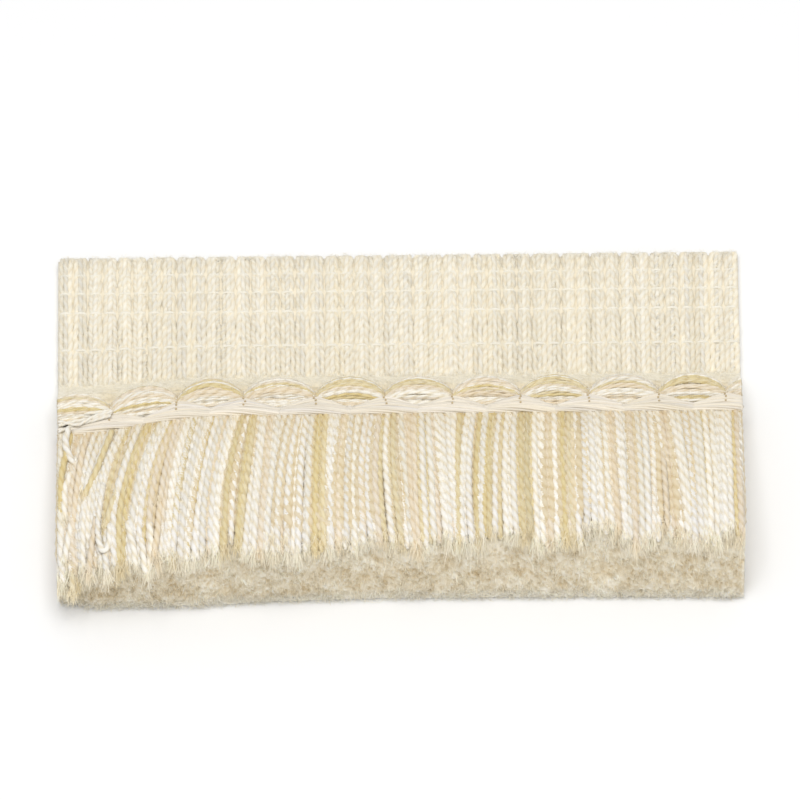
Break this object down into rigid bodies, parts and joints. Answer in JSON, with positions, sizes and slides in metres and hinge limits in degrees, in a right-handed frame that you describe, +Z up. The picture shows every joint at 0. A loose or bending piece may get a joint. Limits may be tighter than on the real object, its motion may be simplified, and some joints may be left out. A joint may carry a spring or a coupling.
{
  "type": "brush fringe",
  "caption": "Cut length of furnishing brush fringe: a knitted heading tape with a looped edge, tied yarn floats, a chain stitch and a thick brush of cut yarn.",
  "frame": {"origin": "centre of the box, on the surface that the trim lies on", "axes": "+X along the cut length, +Y from the brush towards the heading's looped edge, +Z up out of the face"},
  "size_m": [0.086, 0.0528, 0.0101],
  "materials": {
    "tape_cream": "matt knitted cotton",
    "brush_yarn": "soft twisted yarn, matt at its cut ends",
    "bundle_yarn": "soft twisted yarn",
    "chain_thread": "smooth stitching thread",
    "tie_thread": "matt thread"
  },
  "bodies": {
    "root": {"heading_tape": "tape_cream", "brush": "brush_yarn", "float_bundle": "bundle_yarn", "chain_stitch": "chain_thread", "tie_01": "tie_thread", "tie_02": "tie_thread", "tie_03": "tie_thread", "tie_04": "tie_thread", "tie_05": "tie_thread", "tie_06": "tie_thread", "tie_07": "tie_thread", "tie_08": "tie_thread", "tie_09": "tie_thread", "tie_10": "tie_thread"}
  },
  "joints": []
}
